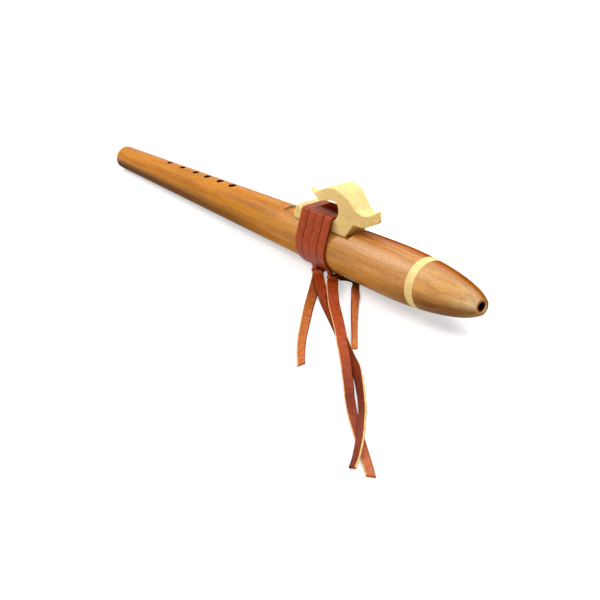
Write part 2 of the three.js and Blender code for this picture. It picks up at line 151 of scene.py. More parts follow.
# Sizes of the turned flute in millimetres, measured along its axis from the foot end
FOOT_CENTRE = Vector((-249.844, -1.24, 11.091))
FLUTE_LENGTH = 500
FOOT_RADIUS = 11.1
BELLY_RADIUS = 20.2
BELLY_STATION = 415
TIP_RADIUS = 5.9
TAPER_POWER = 16
NOSE_POWER = 1.85
NOSE_ROUNDNESS = 0.47
FOOT_EDGE = 1
BORE_RADIUS = 8
SOUND_CHAMBER = 301.5
AIR_CHAMBER = 338
NECK_LENGTH = 22
BLOW_HOLE_RADIUS = 3.3
MOUTH_LIP = 0.8
RING_STATION = 443.1
RING_WIDTH = 7.2
TENON_RADIUS = 12
TENON_DEPTH = 18
NEST_STATION = 284
NEST_LENGTH = 88.6
NEST_HEIGHT = 16
AIRWAY_WIDTH = 8
FLUE_DEPTH = 1.2
SOUND_HOLE_LENGTH = 6
AIR_HOLE_LENGTH = 6
AIR_HOLE_SETBACK = 2
CLEARANCE = 0.3
FINGER_HOLE = 7.1
FINGER_HOLE_STATION_SHARES = (0.1816, 0.2286, 0.276, 0.3156, 0.358, 0.397)
FINGER_HOLE_SIZE_SHARES = (0.74, 0.79, 0.84, 0.89, 0.95, 1)
FINGER_HOLE_FLOOR = 2
# Eased rim of a finger hole: height from the body's outside and how much wider the hole is there
EASED_RIM = ((-0.55, 0), (-0.15, 0.12), (0.3, 0.5), (5, 0.5))

# Block, from its foot-side end and from the nest, in millimetres and in shares of its length and height
BLOCK_STATION = 302.8
BLOCK_LENGTH = 95.7
BLOCK_WIDTH = 20
BLOCK_HEIGHT = 36
BLOCK_SEAT_GAP = 0.05
BED_HEIGHT = 10.5
LIP_HEIGHT = 12.2
BLOCK_FACE_HEIGHT = 5
LIP_START_SHARE = 0.06
BED_START_SHARE = 0.122
BED_END_SHARE = 0.548
HEEL_SHARE = 0.666
FOOT_SHARE = 0.62
HOOK_SHARES = (
    (0.585, 0.4), (0.601, 0.48), (0.602, 0.56), (0.598, 0.64), (0.572, 0.694), (0.53, 0.708), (0.485, 0.694),
    (0.399, 0.625), (0.331, 0.569), (0.247, 0.6), (0.169, 0.65), (0.12, 0.758),
)
CREST_SHARES = (
    (0.159, 0.686), (0.201, 0.672), (0.253, 0.697), (0.305, 0.761), (0.368, 0.844), (0.441, 0.933),
    (0.514, 0.988), (0.587, 1), (0.655, 0.942), (0.707, 0.85), (0.754, 0.733), (0.796, 0.631), (0.848, 0.58),
    (0.901, 0.588), (0.948, 0.644), (0.99, 0.719),
)
FIN_SHARES = ((1, 0.55), (0.969, 0.447), (0.901, 0.35), (0.828, 0.3), (0.749, 0.306))
PLAN_SHARES = (
    (0.118, 0), (0.15, 0.18), (0.235, 0.45), (0.34, 0.8), (0.42, 0.96), (0.5, 1), (0.6, 1), (0.65, 0.97),
    (0.75, 0.78), (0.86, 0.65), (0.925, 0.45), (0.985, 0.12), (1, 0),
)
# Painted shade on the block's sides and underside: what is left of the wood's red, green and blue
BLOCK_SIDE_SHADE = (0.86, 0.72, 0.52)

# Wound laces: places, widths and heights in millimetres, and shares of the body's radius or of a turn
LACE_NAMES = ("foot_lace", "mouth_lace")
BAND_PITCH = 9.6
FIRST_BAND_STATION = 321.1
LACES_DRAWN_IN = 0.18
BELLY_LEAN = 2.8
CROSSING_LIFT = 2.5
LEAN_HEIGHT_SHARES = (-0.15, -0.9)
CROSSING_SHARES = (0.2, 0.9)
PRESSED_WIDENING = 1.1
WRAP_SPACING = 1.0
TURN_STEPS = 72
LEAD_STEPS = 8
ROUTE_STEPS = 8

# Knots: the wraps are gathered toward them, and each is one more turn of leather over the lace's ends
GATHERED_WIDTH = 6.2
GATHER_STEPS = 10
KNOT_SHIFT = 1.3
KNOT_DEPTH = 4.8
KNOT_HEIGHT = 4.2
KNOT_BACK_REACH = 12.8
KNOT_LEAD_IN = 2.2
KNOT_LEATHER = 1.5
KNOT_NARROWING = 2.6
KNOT_STEPS = 60
KNOT_TURNS = 1.12
KNOT_START = 1.9
KNOT_SQUARENESS = 3
KNOT_SHRINKING = 0.12
KNOT_SLANT = 0.3
KNOT_SLANT_START = 0.4

# Leather's surface: sizes of its frayed edges and soft swells in millimetres, and how far they reach
EDGE_ROUNDING = 0.3
SECTION_STEPS = 8
GRIT_SIZE = 1.1
SWELL_SIZE = 9
SWELL_WIDTH = 4
WOBBLE_REACH = 0.35
INNER_SWELL = 0.6

# Dye from 0 dark to 1 light, and the size of the painted shadow under the block's hook in millimetres
MIDDLE_DYE = 0.5
KNOT_DYE = 0.4
HOOK_SHADE_LENGTH = 14
HOOK_SHADE_WIDTH = 9

# Loose lace tails, in millimetres: real length, how far the tip is cut aslant as a share of its width,
# whether the flesh side is up, the edge that shows its pale cut, 1 toward the foot and -1 toward the mouth,
# and the whole tail's thickness as a share of the leather's, less where it has to fit under the body.
# Spread is how wide a tail is along its length, 0 at the tip width, 1 at the tail width and below 0 where it
# is narrower than the tip width, and dye is how light it is, from 0 to 1; low dye also paints shade where a
# tail lies in shade by the body and knots, and high dye paints highlights on the folds at the knots. A
# route's points are x, y, the height of the lowest edge, and the roll in degrees, which lifts the edge on the
# mouth side. Height and roll are 0 where they aren't given.
TAILS = {
    "foot_lace_short_tail": {
        "length": 146.2, "slant": 0.9, "flesh_up": True, "pale_edge": 1, "thickness": 1,
        "spread": ((0, 0.2), (0.05, 1), (1, 0)),
        "dye": ((0, 0), (0.25, 0.08), (0.6, 0.55), (1, 0.66)),
        "route": (
            (87.2, -13.9), (90, -16.9), (92.8, -19.9), (95.6, -22.9), (99.8, -27), (106.2, -33.3),
            (113, -39.9), (120.1, -46.9), (127.1, -53.8), (136, -62.3), (145.5, -71, 0, -2),
            (155.5, -80.1, 0, -5), (165.2, -88.9, 0, -8), (175.5, -97.6, 0, -10), (186.5, -106.2, 0, -10),
            (197.5, -114.2, 0, -8),
        ),
    },
    "foot_lace_long_tail": {
        "length": 269.5, "slant": -0.7, "flesh_up": False, "pale_edge": -1, "thickness": 1,
        "spread": ((0, 0.2), (0.035, 1), (1, 0)),
        "dye": (
            (0, 0.4), (0.02, 0.85), (0.05, 0.35), (0.12, 0.3), (0.3, 0.2), (0.45, 0.1), (0.7, 0.1),
            (0.9, 0.22), (1, 0.14),
        ),
        "route": (
            (86.6, -16.6, 2), (90.2, -18.8, 2), (93.9, -21, 2), (98, -23.5, 2), (105.1, -28, 2),
            (112.6, -32.6, 2), (118.5, -36.2, 2), (123.5, -39, 2), (128.5, -41.7, 1.3), (134, -44.6, 0.4),
            (140.5, -47.8), (149, -52), (160.5, -57.6), (172, -63.4), (183.5, -69.2), (194.5, -75),
            (204, -79.9), (213.5, -84.6, 0, 2), (225.5, -90.8, 0, 12), (239, -99.3, 0, 34),
            (252.5, -108.5, 0, 41), (266.2, -118.7, 0.7, 42), (273.5, -124.6, 1.9, 40),
            (281, -131.4, 2.2, 36), (289.5, -139, 2.1, 32), (298, -147.5, 1.1, 30), (306, -156.2, 0.2, 28),
            (312, -163.6, 0, 28),
        ),
    },
    "mouth_lace_long_tail": {
        "length": 259.2, "slant": -0.45, "flesh_up": False, "pale_edge": 1, "thickness": 1,
        "spread": ((0, 0.2), (0.035, 1), (1, 0)),
        "dye": (
            (0, 0.1), (0.02, 0.6), (0.045, 0.12), (0.07, 0.3), (0.2, 0.46), (0.42, 0.54), (0.55, 0.33),
            (0.7, 0.15), (0.8, 0.34), (0.9, 0.66), (1, 0.8),
        ),
        "route": (
            (105.6, -15.9, 2), (109.2, -18.5, 2.8), (112.9, -21.3, 3.5), (117, -24.6, 4.1),
            (122.6, -29, 4.2), (127.5, -32.8, 4.2), (133, -36.8, 3.8), (138.7, -40.9, 2.9),
            (144, -44.5, 2.2), (149.5, -48, 1.9), (160, -54.5, 1.9), (171.5, -61.8, 1.9),
            (183, -69.3, 1.9), (195, -77.5, 1.9), (207, -85.5, 2), (219, -93.7, 2.2), (230.5, -101.9, 2.2),
            (241.5, -109.6, 1.4), (253, -117.9, 0.3), (266, -126.5), (279, -134.4), (292, -141.9),
            (308, -151), (323.7, -160.2),
        ),
    },
    "mouth_lace_short_tail": {
        "length": 116.5, "slant": 0.3, "flesh_up": True, "pale_edge": 0, "thickness": 0.8,
        "spread": ((0, -0.1), (0.14, -0.1), (0.32, 0.5), (0.6, 0.25), (1, -0.4)),
        "dye": ((0, 0), (0.22, 0.05), (0.35, 0.65), (1, 0.75)),
        "route": (
            (108.2, -10.9), (110.9, -8.4), (114, -6.4), (117.8, -5.3), (121.8, -6.2), (125.6, -9, 0, -4),
            (130, -12.9, 0, -14), (134.9, -17.1, 0, -25), (143.2, -23.8, 0, -32), (152.2, -31.6, 0, -38),
            (163.3, -41, 0, -40), (174.1, -50, 0, -40), (184.5, -58.4, 0, -36), (193.3, -65.5, 0, -26),
            (199.4, -70.5, 0, -16), (203.6, -73.7, 0, -10),
        ),
    },
}

AXIS = Vector(frame["joints"][0]["axis"]).normalized()
TILT = math.atan2(AXIS.z, AXIS.x)
PLACE = Matrix.Translation(FOOT_CENTRE) @ Matrix.Rotation(-TILT, 4, "Y")


# Shapes


def radius_at(station):
    """Outer radius of the turned flute at a distance from its foot."""
    if station <= BELLY_STATION:
        along = station / BELLY_STATION
        swell = (TAPER_POWER * along - along ** TAPER_POWER) / (TAPER_POWER - 1)
        return FOOT_RADIUS + (BELLY_RADIUS - FOOT_RADIUS) * swell
    along = (station - BELLY_STATION) / (FLUTE_LENGTH - BELLY_STATION)
    fall = 1 - (TIP_RADIUS / BELLY_RADIUS) ** (1 / NOSE_ROUNDNESS)
    return BELLY_RADIUS * (1 - fall * along ** NOSE_POWER) ** NOSE_ROUNDNESS


def outer_line(start, end, count):
    """Points of station and radius along the flute's outside."""
    stations = [start + (end - start) * i / count for i in range(count + 1)]
    return [(station, radius_at(station)) for station in stations]


def mesh_piece(name, points, faces, place=PLACE):
    """A mesh object from points in millimetres in the flute's own frame."""
    mesh = bpy.data.meshes.new(name)
    mesh.from_pydata([place @ Vector(p) * MM for p in points], [], faces)
    mesh.update()
    piece = bpy.data.objects.new(name, mesh)
    bpy.context.scene.collection.objects.link(piece)
    return piece


def turned_piece(name, profile, sides=TURNED_SIDES, axis="X", centre=(0, 0, 0)):
    """A solid of revolution from points of place and radius, closed on itself or on the axis."""
    rings, points, faces = [], [], []
    for along, radius in profile:
        count = sides if radius > TINY else 1
        ring = []
        for i in range(count):
            angle = 2 * math.pi * i / sides
            across, up = radius * math.sin(angle), radius * math.cos(angle)
            spot = (along, across, up) if axis == "X" else (up, across, along)
            ring.append(len(points))
            points.append([a + b for a, b in zip(spot, centre)])
        rings.append(ring)
    closed = profile[0][1] > TINY
    for k in range(len(rings) if closed else len(rings) - 1):
        a, b = rings[k], rings[(k + 1) % len(rings)]
        for i in range(sides):
            j = (i + 1) % sides
            quad = [a[i % len(a)], a[j % len(a)], b[j % len(b)], b[i % len(b)]]
            face = list(dict.fromkeys(quad))
            if len(face) > 2:
                faces.append(face)
    piece = mesh_piece(name, points, faces)
    face_outward(piece)
    return piece


def face_outward(piece):
    """Turns all faces of a closed piece outward."""
    work = bmesh.new()
    work.from_mesh(piece.data)
    bmesh.ops.recalc_face_normals(work, faces=work.faces)
    work.to_mesh(piece.data)
    work.free()


def extruded_piece(name, outline, low, high, axis):
    """A prism from a closed outline of two coordinates, along the flute's Y or Z axis."""
    count = len(outline)
    points = []
    for depth in (low, high):
        for a, b in outline:
            points.append((a, depth, b) if axis == "Y" else (a, b, depth))
    faces = [list(range(count)), list(range(2 * count - 1, count - 1, -1))]
    for i in range(count):
        j = (i + 1) % count
        faces.append([i, i + count, j + count, j])
    piece = mesh_piece(name, points, faces)
    face_outward(piece)
    return piece


def box_cut(name, start, end, width, low, high):
    """A box along the flute, to cut or trim with."""
    half = width / 2
    outline = [(start, -half), (end, -half), (end, half), (start, half)]
    return extruded_piece(name, outline, low, high, "Z")


def settled(piece):
    """Turns a piece's modifiers into its own mesh."""
    graph = bpy.context.evaluated_depsgraph_get()
    mesh = bpy.data.meshes.new_from_object(piece.evaluated_get(graph))
    piece.modifiers.clear()
    piece.data = mesh


def combined(piece, others, operation):
    """Cuts, joins or intersects a piece with others, which are used up."""
    for other in others:
        step = piece.modifiers.new("combine", "BOOLEAN")
        step.operation, step.solver, step.object = operation, "EXACT", other
    settled(piece)
    for other in others:
        bpy.data.objects.remove(other)


def smooth_shaded(piece, sharp_degrees):
    """Shades a piece smooth, apart from edges that turn by more than an angle."""
    piece.data.shade_smooth()
    piece.data.set_sharp_from_angle(angle=math.radians(sharp_degrees))


def spline(points, steps):
    """Points on a smooth curve through all the given points."""
    ends = [2 * points[0] - points[1], *points, 2 * points[-1] - points[-2]]
    run = []
    for i in range(1, len(ends) - 2):
        a, b, c, d = ends[i - 1:i + 3]
        for k in range(steps):
            t = k / steps
            run.append(
                0.5 * (2 * b + (c - a) * t + (2 * a - 5 * b + 4 * c - d) * t * t
                       + (3 * b - a - 3 * c + d) * t ** 3)
            )
    return [*run, points[-1].copy()]


def shares_line(shares, width, height, steps=6):
    """A smooth outline from shares of a width and a height."""
    return [tuple(p) for p in spline([Vector((a * width, b * height)) for a, b in shares], steps)]


def dressed(piece, body, materials, nodes):
    """Gives a piece its materials, its body and the nodes that it stands for."""
    for material in materials:
        piece.data.materials.append(material)
    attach(piece, body)
    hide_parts(*nodes)


# Laces


def smooth(share):
    """Eases a share in and out between 0 and 1."""
    t = min(max(share, 0), 1)
    return t * t * (3 - 2 * t)


def outward(angle):
    """Direction out of the winding, turned from the top toward the front."""
    return Vector((0, -math.sin(angle), math.cos(angle)))


def strap_reach():
    """From what a lace lies on to the middle of its leather."""
    return CLEARANCE + sizes().lace_thickness / MM / 2


def body_reach(station):
    return radius_at(station) + strap_reach()


def bed_top():
    """Height of the block's bed over the flute's axis."""
    return NEST_HEIGHT + CLEARANCE + BED_HEIGHT


def leave_angle(station):
    """Where a straight stretch from the block's edge meets the round body."""
    corner = math.hypot(BLOCK_WIDTH / 2, bed_top())
    return math.atan2(BLOCK_WIDTH / 2, bed_top()) + math.acos(radius_at(station) / corner)


def lean_at(height, station):
    """How far a band has gone along the flute at a height, on its way to the next band's place."""
    high, low = [share * body_reach(station) for share in LEAN_HEIGHT_SHARES]
    return BELLY_LEAN * smooth((high - height) / (high - low))


def on_body(station, angle, lift=0):
    """A point of a lace's middle on the round body, and the direction out of it."""
    normal = outward(angle)
    point = normal * (body_reach(station) + lift)
    point.x = station
    return point, normal


def up_the_back(start, end, lift):
    """From the belly up the back to the block's edge, from one band's place to another's."""
    leave = leave_angle(end)
    arc = body_reach(end) * (math.pi - leave)
    straight = math.sqrt((BLOCK_WIDTH / 2) ** 2 + bed_top() ** 2 - radius_at(end) ** 2)
    low, high = CROSSING_SHARES
    steps = []
    for i in range(TURN_STEPS + 1):
        share = i / TURN_STEPS
        gone = share * (arc + straight)
        station = start + BELLY_LEAN + (end - start - BELLY_LEAN) * smooth((share - low) / (high - low))
        raised = lift * smooth(share / low) * smooth((1 - share) / (1 - high))
        angle = -max(math.pi - gone / body_reach(end), leave)
        point, normal = on_body(station, angle, raised)
        point += Vector((0, -math.cos(angle), -math.sin(angle))) * max(gone - arc, 0)
        steps.append((point, normal))
    return steps


def over_the_bed(station):
    leave = leave_angle(station)
    steps = []
    for side, shares in ((-1, (1, 0.8, 0.6, 0.4, 0.2, 0)), (1, (0, 0.2, 0.4, 0.6, 0.8, 1))):
        for share in shares:
            normal = outward(side * leave * share)
            corner = Vector((station, -side * BLOCK_WIDTH / 2, bed_top()))
            steps.append((corner + normal * strap_reach(), normal))
    return steps


def down_the_front(station, last):
    leave = leave_angle(station)
    count = round(TURN_STEPS * (last - leave) / math.pi)
    steps = []
    for i in range(count + 1):
        point, normal = on_body(station, leave + (last - leave) * i / count)
        point.x += lean_at(point.z, station)
        steps.append((point, normal))
    return steps


def table_height(station):
    """Height of the table under the flute's axis at a station, in the flute's frame."""
    return -radius_at(FOOT_EDGE) - (station - FOOT_EDGE) * math.tan(TILT)


def winding_line(lace):
    """A lace from its knot under the belly, twice round body and block, back to the knot's top."""
    drawn_in = LACES_DRAWN_IN if lace == 0 else -LACES_DRAWN_IN
    band = FIRST_BAND_STATION + (2 * lace + 1) * BAND_PITCH + drawn_in
    other = band - BAND_PITCH
    station = band + BELLY_LEAN
    top = table_height(station) + KNOT_HEIGHT
    back = -KNOT_BACK_REACH
    belly = Vector((station, 0, -body_reach(band)))
    under = Vector((station, back + CLEARANCE, -body_reach(band)))
    end = Vector((station, back - KNOT_DEPTH / 2, top))
    above = end + Vector((0, 0, KNOT_LEAD_IN + CLEARANCE))
    last = math.atan2(-end.y, above.z) - math.acos(body_reach(band) / math.hypot(end.y, above.z))
    down = down_the_front(band, last)
    run = []
    for i in range(LEAD_STEPS + 1):
        point = down[-1][0].lerp(above, i / LEAD_STEPS)
        point.x = band + lean_at(point.z, band)
        run.append((point, outward(last)))
    end.x = run[-1][0].x
    run.append((end, outward(math.pi / 2)))
    return [
        *[(under.lerp(belly, i / LEAD_STEPS), outward(math.pi)) for i in range(LEAD_STEPS)],
        *up_the_back(band, other, 0),
        *over_the_bed(other),
        *down_the_front(other, math.pi)[:-1],
        *up_the_back(other, band, CROSSING_LIFT),
        *over_the_bed(band),
        *down[:-1],
        *run,
    ]


def resampled(steps, spacing):
    """The same line of points and directions, at an even spacing."""
    places = [0.0]
    for (a, _), (b, _) in zip(steps, steps[1:]):
        places.append(places[-1] + (b - a).length)
    count = max(2, round(places[-1] / spacing))
    line, k = [], 0
    for i in range(count + 1):
        target = places[-1] * i / count
        while k < len(steps) - 2 and places[k + 1] < target:
            k += 1
        t = (target - places[k]) / max(places[k + 1] - places[k], TINY)
        point = steps[k][0].lerp(steps[k + 1][0], t)
        line.append((point, steps[k][1].lerp(steps[k + 1][1], t).normalized()))
    return line


def strap_section(thickness, width, pale):
    """Points round a lace's section with their kinds: 0 outer, 1 inner, 2 pale cut edge, 3 dyed cut edge."""
    round_off = EDGE_ROUNDING * thickness
    corner = round_off * EDGE_ROUNDING
    half, deep = width / 2, thickness / 2
    wide = [-half + round_off + (width - 2 * round_off) * i / SECTION_STEPS for i in range(SECTION_STEPS + 1)]
    outer = [(x, deep, 0) for x in wide]
    inner = [(x, -deep, 1) for x in reversed(wide)]
    edge = [
        (half - corner, deep - corner), (half, deep - round_off), (half, -deep + round_off),
        (half - corner, -deep + corner),
    ]
    left = [(-x, -y, 2 if pale < 0 else 3) for x, y in edge]
    right = [(x, y, 2 if pale > 0 else 3) for x, y in edge]
    return [*outer, *right, *inner, *left]


def even_tone(share, point):
    """The same dye all over."""
    return MIDDLE_DYE


def strap_piece(name, line, widths, thickness, seed, wobble, place=PLACE, slant=0, flip=False, pale=0,
                tone=even_tone):
    """A flat lace along a line of points and outward directions, with worn edges and a soft surface.

    The tone gives how light the dye is, from 0 to 1, at a share of the lace's length and a point of its line.
    Low and high tones also paint shade and highlights.
    """
    points, kinds, flat = [], [], []
    gone = 0.0
    steps = len(line)
    for i, (point, normal) in enumerate(line):
        ahead = line[min(i + 1, steps - 1)][0] - line[max(i - 1, 0)][0]
        along = ahead.normalized()
        across = along.cross(normal).normalized()
        up = across.cross(along)
        if i:
            gone += (point - line[i - 1][0]).length
        for side, rise, kind in strap_section(thickness, widths[i], pale):
            # Each lace takes its noise from its own layer, and each of its edges from its own row
            grit = noise.noise(Vector((gone / GRIT_SIZE, 7 * (side > 0), seed + 0.37)))
            swell = noise.noise(Vector((gone / SWELL_SIZE, side / SWELL_WIDTH, seed + 3.1)))
            near_edge = abs(side) > widths[i] / 2 - thickness
            reach = side * (1 + (WOBBLE_REACH * wobble * grit / widths[i] if near_edge else 0))
            height = rise + wobble * WOBBLE_REACH * swell * (INNER_SWELL if kind == 1 else 1)
            spot = point + across * reach + up * height
            if slant and i == steps - 1:
                spot += along * side * slant
            spot = place @ spot
            spot.z = max(spot.z, 0.0)
            points.append(spot)
            kinds.append(kind)
            flat.append((side, gone))
    count = len(points) // steps
    faces = []
    for i in range(steps - 1):
        for j in range(count):
            a, b = i * count + j, i * count + (j + 1) % count
            faces.append((a, a + count, b + count, b))
    faces.append(tuple(range(count)))
    faces.append(tuple(range(steps * count - 1, (steps - 1) * count - 1, -1)))
    piece = mesh_piece(name, points, faces, Matrix())
    face_outward(piece)
    mesh = piece.data
    layer = mesh.uv_layers.new(name="along_lace")
    for face in mesh.polygons:
        marks = [kinds[v] for v in face.vertices]
        # The cut ends have many corners, and take the grain side's finish
        kind = max(marks) if len(marks) < 5 else 0
        face.material_index = 1 - kind if flip and kind < 2 else kind
        for corner in face.loop_indices:
            side, run = flat[mesh.loops[corner].vertex_index]
            layer.data[corner].uv = (side * MM, run * MM)
    dye_and_light_layer = mesh.attributes.new("dye_and_painted_light", "FLOAT", "POINT")
    for i, spot in enumerate(dye_and_light_layer.data):
        spot.value = tone(flat[i][1] / gone, line[i // count][0])
    smooth_shaded(piece, ROUNDED_DEGREES)
    return piece


def stops_at(share, stops):
    """Value at a share of a lace's length, from rising pairs of share and value."""
    for (start, first), (end, last) in zip(stops, stops[1:]):
        if share <= end:
            return first + (last - first) * (share - start) / (end - start)
    return stops[-1][1]


def tail_thickness(name):
    return sizes().lace_thickness / MM * TAILS[name]["thickness"]


def tail_line(name):
    """Points on the table and upward directions along a loose tail, with its widths."""
    thick = tail_thickness(name)
    widest, tip = sizes().tail_width / MM, sizes().tip_width / MM
    route = spline([Vector((*point, 0, 0)[:4]) for point in TAILS[name]["route"]], ROUTE_STEPS)
    places = [0.0]
    for a, b in zip(route, route[1:]):
        places.append(places[-1] + (b.xy - a.xy).length)
    line, widths = [], []
    for i, (x, y, lift, roll) in enumerate(route):
        ahead = route[min(i + 1, len(route) - 1)].xy - route[max(i - 1, 0)].xy
        along = Vector((*ahead.normalized(), 0))
        across = along.cross(Vector((0, 0, 1)))
        lean = math.radians(roll)
        normal = Vector((0, 0, math.cos(lean))) + across * math.sin(lean)
        width = tip + (widest - tip) * stops_at(places[i] / places[-1], TAILS[name]["spread"])
        height = lift + (width * abs(math.sin(lean)) + thick * math.cos(lean)) / 2
        line.append((Vector((x, y, height)), normal))
        widths.append(width)
    return line, widths


# Materials

# A mixing node's colour output is its third, and its colour inputs are its seventh and eighth
MAIN_OUTPUTS = {"ShaderNodeMix": 2}
BLEND = {"data_type": "RGBA"}
MULTIPLY = {"data_type": "RGBA", "blend_type": "MULTIPLY"}


def opaque(value):
    """Red, green, blue and alpha of a colour or of a grey level."""
    return (*value, 1) if hasattr(value, "__len__") else (value, value, value, 1)


def add_node(tree, kind, inputs=None, **settings):
    """Adds a node with its settings and ramp stops, and sets each input to a value or links it to a source.

    A source is an output of another node, or a node that stands for its main output.
    """
    node = tree.nodes.new("ShaderNode" + kind)
    stops = settings.pop("stops", ())
    for key, value in settings.items():
        setattr(node, key, value)
    if stops:
        elements = node.color_ramp.elements
        while len(elements) < len(stops):
            elements.new(0.5)
        for element, (position, tone) in zip(elements, stops):
            element.position, element.color = position, opaque(tone)
    for key, value in (inputs or {}).items():
        socket = node.inputs[key]
        if isinstance(value, bpy.types.Node):
            value = value.outputs[MAIN_OUTPUTS.get(value.bl_idname, 0)]
        if isinstance(value, bpy.types.NodeSocket):
            tree.links.new(value, socket)
        else:
            socket.default_value = opaque(value) if socket.type == "RGBA" else value
    return node


def emptied(owner):
    """Clears the nodes of a material or world, and gives the function that adds nodes to it."""
    owner.use_nodes = True
    owner.node_tree.nodes.clear()
    return partial(add_node, owner.node_tree)


def pattern(add, place, sizes_mm, offset=(0, 0, 0), **inputs):
    """Noise whose grains have the given sizes in millimetres along, across and up the flute."""
    scale = [1 / (size * MM) for size in sizes_mm]
    spot = add("Mapping", {"Vector": place, "Location": offset, "Rotation": (0, TILT, 0), "Scale": scale})
    return add("TexNoise", {"Vector": spot, "Scale": 1, **inputs})


def layered(add, shade, *layers):
    """Multiplies a colour by the tones of several patterns, each given with the stops of its ramp."""
    for value, stops in layers:
        tone = add("ValToRGB", {"Fac": value}, stops=stops)
        shade = add("Mix", {0: 1.0, 6: shade, 7: tone}, **MULTIPLY)
    return shade


def oiled_teak(name, offset):
    """Teak, turned on a lathe, sanded and oiled: long orange-brown bands, short dark pores, a satin shine."""
    tones = colours()
    material = bpy.data.materials.new(name)
    add = emptied(material)
    place = add("TexCoord").outputs["Object"]
    reach = add("SeparateXYZ", {"Vector": place}).outputs["X"]
    normal = add("NewGeometry").outputs["Normal"]
    facing = add("SeparateXYZ", {"Vector": normal}).outputs
    # The foot end is the deepest orange, and the mouth end the palest and the most polished by hands
    toward_mouth = add("MapRange", {"Value": reach, "From Min": -0.02, "From Max": 0.25})
    shade = add("Mix", {0: toward_mouth, 6: tones.teak_foot, 7: tones.teak_mouth}, **BLEND)
    # Painted highlight: the last 20 mm of the mouth end are painted pale
    tip = add("MapRange", {"Value": reach, "From Min": 0.228, "From Max": 0.247, "To Max": 0.65})
    shade = add("Mix", {0: tip, 6: shade, 7: tones.pale_rim_and_tip_highlight}, **BLEND)
    # Growth bands 3 to 4 mm wide run the whole length, because the stick is sawn along the grain
    bands = pattern(add, place, (170, 3.6, 3.6), offset, Detail=3, Roughness=0.55, Distortion=0.4)
    # Broad tone changes, about 15 mm round and 90 mm along
    clouds = pattern(add, place, (90, 15, 15), offset, Detail=1)
    # Fibres about 0.5 mm wide, drawn coarser than real ones so that they show
    fibres = pattern(add, place, (26, 0.55, 0.55), offset, Detail=4, Roughness=0.65)
    shade = layered(
        add, shade, (bands, ((0.42, 1), (0.68, tones.teak_band))), (clouds, ((0.3, 0.82), (0.7, 1.08))),
        (fibres, ((0.35, 0.8), (0.6, 1.06))),
    )
    # Painted shade: the lower side is painted darker, most of all toward the foot and again under the mouth
    # end
    low_side = add("MapRange", {"Value": facing["Z"], "From Min": 0.3, "From Max": -0.2})
    share_along = add("MapRange", {"Value": reach, "From Min": -0.25, "From Max": 0.25})
    # The ramp oiled holds the painted shade's tone along the flute
    oiled = add("ValToRGB", {"Fac": share_along}, stops=(
        (0, (0.2, 0.19, 0.05)), (0.36, (0.42, 0.38, 0.13)), (0.58, (1, 1, 0.95)), (0.8, (1, 1, 0.95)),
        (0.92, (0.4, 0.31, 0.19)),
    ))
    shade = add("Mix", {0: low_side, 6: shade, 7: oiled}, **MULTIPLY)
    # Painted shade: the belly and nose are painted a deeper orange on the side that faces away from the front
    far_side = add("MapRange", {"Value": facing["Y"], "From Min": -0.4, "From Max": 0.2})
    belly = add("MapRange", {"Value": reach, "From Max": 0.1})
    shaded = add("Math", {0: far_side, 1: belly}, operation="MULTIPLY")
    shade = add("Mix", {0: shaded, 6: shade, 7: tones.teak_far_shade}, **MULTIPLY)
    # Neither side has been polished by hands
    dull_low = add("Math", {0: low_side, 1: 0.9}, operation="MULTIPLY")
    dull = add("Math", {0: dull_low, 1: shaded}, operation="MAXIMUM")
    gloss = add("MapRange", {"Value": dull, "To Min": 0.5, "To Max": 0.0})
    # Pores about 0.3 mm wide and 3 mm long
    pores = pattern(add, place, (3.2, 0.34, 0.34), offset, Detail=2, Roughness=0.5)
    pores = add("ValToRGB", {"Fac": pores}, stops=((0.6, 0), (0.69, 1)))
    pore_share = add("Math", {0: pores, 1: 0.7}, operation="MULTIPLY")
    shade = add("Mix", {0: pore_share, 6: shade, 7: tones.teak_pore}, **BLEND)
    # The upper half of the foot's rim is painted pale, about 2 mm wide
    rim = add("MapRange", {"Value": reach, "From Min": -0.2474, "From Max": -0.2482})
    upper = add("Math", {0: 1, 1: low_side}, operation="SUBTRACT", use_clamp=True)
    worn = add("Math", {0: rim, 1: upper}, operation="MULTIPLY")
    shade = add("Mix", {0: worn, 6: shade, 7: tones.pale_rim_and_tip_highlight}, **BLEND)
    rough = add("MapRange", {"Value": fibres, "To Min": 0.3, "To Max": 0.5})
    # Pores and fibres lie a tenth of a millimetre deep, and edges are eased by sanding
    dents = add("Math", {0: fibres, 1: 0.35, 2: pores}, operation="MULTIPLY_ADD")
    soft_edges = add("Bevel", {"Radius": 0.35 * MM}, samples=4)
    bump = add("Bump", {
        "Height": dents, "Normal": soft_edges, "Strength": 0.35, "Distance": 0.12 * MM,
    }, invert=True)
    polish = add("MapRange", {"Value": reach, "From Max": 0.25, "To Min": 1.2, "To Max": 1.56})
    shader = add("BsdfPrincipled", {
        "Base Color": shade, "Roughness": rough, "IOR": polish, "Specular IOR Level": gloss, "Normal": bump,
    })
    add("OutputMaterial", {"Surface": shader})
    return material


